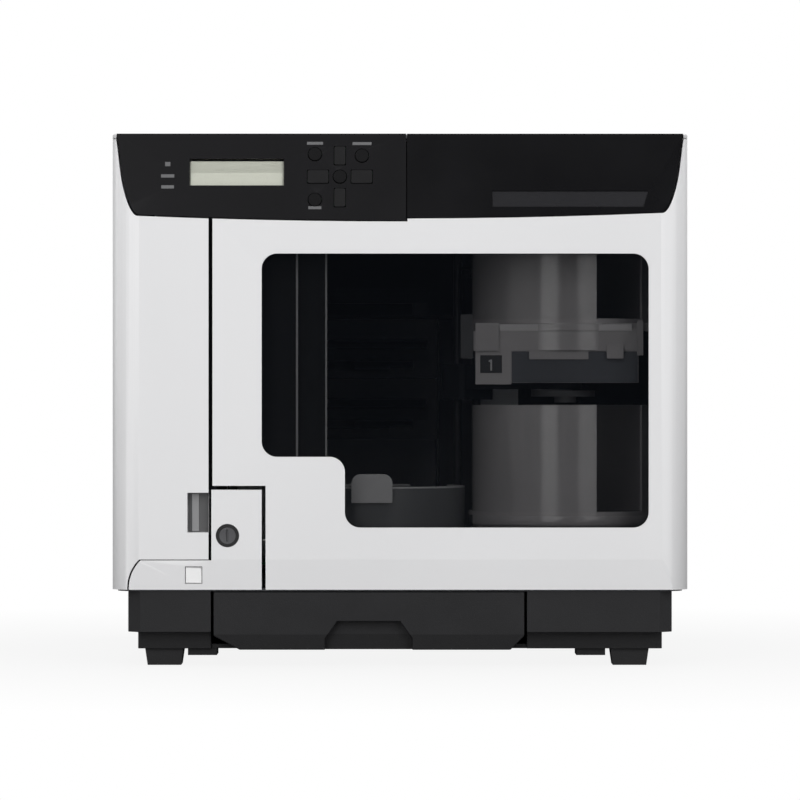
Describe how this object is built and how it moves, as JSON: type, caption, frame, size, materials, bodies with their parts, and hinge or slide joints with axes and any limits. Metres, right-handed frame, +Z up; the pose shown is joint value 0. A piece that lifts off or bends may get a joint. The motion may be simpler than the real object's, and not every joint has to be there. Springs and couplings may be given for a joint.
{
  "type": "disc label printer",
  "caption": "Desktop disc publisher: cabinet with windowed door, ink cover, disc stackers, swinging disc arm, recording drives, label printer and output drawer.",
  "frame": {"origin": "on the floor under the middle of the cabinet", "axes": "+X to the right seen from the front, +Y from front to back, +Z up"},
  "size_m": [0.377, 0.465, 0.348],
  "materials": {
    "white_skin": "fine satin moulding",
    "black_base": "fine spark-eroded texture",
    "black_panel": "satin black",
    "dark_inner": "matt",
    "grey_cup": "satin grey",
    "smoked_clear": "smoked transparent",
    "lcd_grey": "reflective LCD",
    "lamp_clear": "light pipe",
    "zinc_sheet": "plated sheet",
    "steel_rod": "ground",
    "circuit_green": "solder mask",
    "belt_rubber": "toothed belt",
    "foot_rubber": "matt",
    "key_black": "matt",
    "button_white": "gloss",
    "lock_steel": "dark plated",
    "ink_case": "matt"
  },
  "bodies": {
    "cabinet": {"base_frame": "black_base", "rubber_feet": "foot_rubber", "deck_plate": "zinc_sheet", "left_side_panel": "white_skin", "right_side_panel": "white_skin", "top_cover": "white_skin", "rear_panel": "zinc_sheet", "hinge_pins": "steel_rod", "corner_panel": "white_skin", "control_fascia": "black_panel", "status_fascia": "black_panel", "panel_windows": "smoked_clear", "lcd_display": "lcd_grey", "status_lamps": "lamp_clear", "key_board": "circuit_green", "front_frame": "dark_inner", "bay_walls": "dark_inner", "stacker_1": "grey_cup", "stacker_2": "grey_cup", "stacker_3": "grey_cup", "stacker_supports": "grey_cup", "mast_bearings": "dark_inner", "swing_motor": "zinc_sheet", "swing_belt": "belt_rubber", "disc_drive_1": "zinc_sheet", "disc_drive_2": "zinc_sheet", "drive_cage": "zinc_sheet", "printer_frame": "zinc_sheet", "ink_holder": "dark_inner", "ink_cartridges": "ink_case", "power_supply": "zinc_sheet", "main_board": "circuit_green", "data_ports": "zinc_sheet", "fan_frame": "dark_inner", "power_entry": "dark_inner", "panel_screws": "steel_rod"},
    "door": {"door_panel": "white_skin", "door_window": "smoked_clear"},
    "ink_door": {"ink_cover": "white_skin"},
    "disc_drawer": {"drawer": "black_base"},
    "mast": {"mast_frame": "steel_rod"},
    "arm": {"arm_carriage": "dark_inner", "arm_gripper": "grey_cup"},
    "motor_shaft": {"motor_pulley": "steel_rod"},
    "tray_1": {"drive_tray_1": "dark_inner"},
    "tray_2": {"drive_tray_2": "dark_inner"},
    "printer_tray": {"print_tray": "dark_inner"},
    "head": {"print_head": "dark_inner"},
    "fan": {"fan_rotor": "dark_inner"},
    "rocker": {"power_switch": "key_black"},
    "lock": {"lock_cylinder": "lock_steel"},
    "power_key": {"power_button": "button_white"},
    "cap_menu": {"key_menu": "key_black"},
    "cap_cancel": {"key_cancel": "key_black"},
    "cap_ok": {"key_ok": "key_black"},
    "cap_info": {"key_info": "key_black"},
    "cap_up": {"key_up": "key_black"},
    "cap_down": {"key_down": "key_black"},
    "cap_left": {"key_left": "key_black"},
    "cap_right": {"key_right": "key_black"}
  },
  "joints": [
    {"name": "door_hinge", "type": "hinge", "parent": "cabinet", "child": "door", "pos_m": [0.1835, -0.203, 0.174], "axis": [0, 0, 1], "range_deg": [0, 95]},
    {"name": "ink_cover_hinge", "type": "hinge", "parent": "cabinet", "child": "ink_door", "pos_m": [-0.1835, -0.203, 0.174], "axis": [0, 0, -1], "range_deg": [0, 95]},
    {"name": "drawer_slide", "type": "slide", "parent": "cabinet", "child": "disc_drawer", "axis": [0, -1, 0], "range_m": [0, 0.12]},
    {"name": "arm_swing", "type": "hinge", "parent": "cabinet", "child": "mast", "pos_m": [0.0459, -0.064, 0.174], "axis": [0, 0, 1], "range_deg": [-152.13, 0]},
    {"name": "arm_lift", "type": "slide", "parent": "mast", "child": "arm", "axis": [0, 0, 1], "range_m": [-0.114, 0.13]},
    {"name": "motor_spin", "type": "hinge", "parent": "cabinet", "child": "motor_shaft", "pos_m": [0.078, 0.004, 0.0534], "axis": [0, 0, 1], "range_deg": [-323.29, 0]},
    {"name": "tray_1_slide", "type": "slide", "parent": "cabinet", "child": "tray_1", "axis": [0, -1, 0], "range_m": [0, 0.14]},
    {"name": "tray_2_slide", "type": "slide", "parent": "cabinet", "child": "tray_2", "axis": [0, -1, 0], "range_m": [0, 0.14]},
    {"name": "print_tray_slide", "type": "slide", "parent": "cabinet", "child": "printer_tray", "axis": [0, -1, 0], "range_m": [0, 0.14]},
    {"name": "print_head_slide", "type": "slide", "parent": "cabinet", "child": "head", "axis": [-1, 0, 0], "range_m": [0, 0.15]},
    {"name": "fan_spin", "type": "hinge", "parent": "cabinet", "child": "fan", "pos_m": [0.135, 0.2218, 0.286], "axis": [0, 1, 0], "continuous": true},
    {"name": "rocker_tilt", "type": "hinge", "parent": "cabinet", "child": "rocker", "pos_m": [0.118, 0.2263, 0.08], "axis": [1, 0, 0], "range_deg": [0, 12]},
    {"name": "lock_turn", "type": "hinge", "parent": "cabinet", "child": "lock", "pos_m": [-0.1126, -0.2275, 0.0852], "axis": [0, 1, 0], "range_deg": [0, 90]},
    {"name": "power_press", "type": "slide", "parent": "cabinet", "child": "power_key", "axis": [0, 1, 0], "range_m": [0, 0.0015], "stiffness_N_per_m": 300},
    {"name": "menu_press", "type": "slide", "parent": "cabinet", "child": "cap_menu", "axis": [0, 0.9883, -0.1522], "range_m": [0, 0.0008], "stiffness_N_per_m": 300},
    {"name": "cancel_press", "type": "slide", "parent": "cabinet", "child": "cap_cancel", "axis": [0, 0.9883, -0.1522], "range_m": [0, 0.0008], "stiffness_N_per_m": 300},
    {"name": "ok_press", "type": "slide", "parent": "cabinet", "child": "cap_ok", "axis": [0, 0.9883, -0.1522], "range_m": [0, 0.0008], "stiffness_N_per_m": 300},
    {"name": "info_press", "type": "slide", "parent": "cabinet", "child": "cap_info", "axis": [0, 0.9883, -0.1522], "range_m": [0, 0.0008], "stiffness_N_per_m": 300},
    {"name": "up_press", "type": "slide", "parent": "cabinet", "child": "cap_up", "axis": [0, 0.9883, -0.1522], "range_m": [0, 0.0008], "stiffness_N_per_m": 300},
    {"name": "down_press", "type": "slide", "parent": "cabinet", "child": "cap_down", "axis": [0, 0.9883, -0.1522], "range_m": [0, 0.0008], "stiffness_N_per_m": 300},
    {"name": "left_press", "type": "slide", "parent": "cabinet", "child": "cap_left", "axis": [0, 0.9883, -0.1522], "range_m": [0, 0.0008], "stiffness_N_per_m": 300},
    {"name": "right_press", "type": "slide", "parent": "cabinet", "child": "cap_right", "axis": [0, 0.9883, -0.1522], "range_m": [0, 0.0008], "stiffness_N_per_m": 300}
  ],
  "couplings": [
    {"joint": "motor_spin", "follows": "arm_swing", "ratio": 2.125}
  ]
}
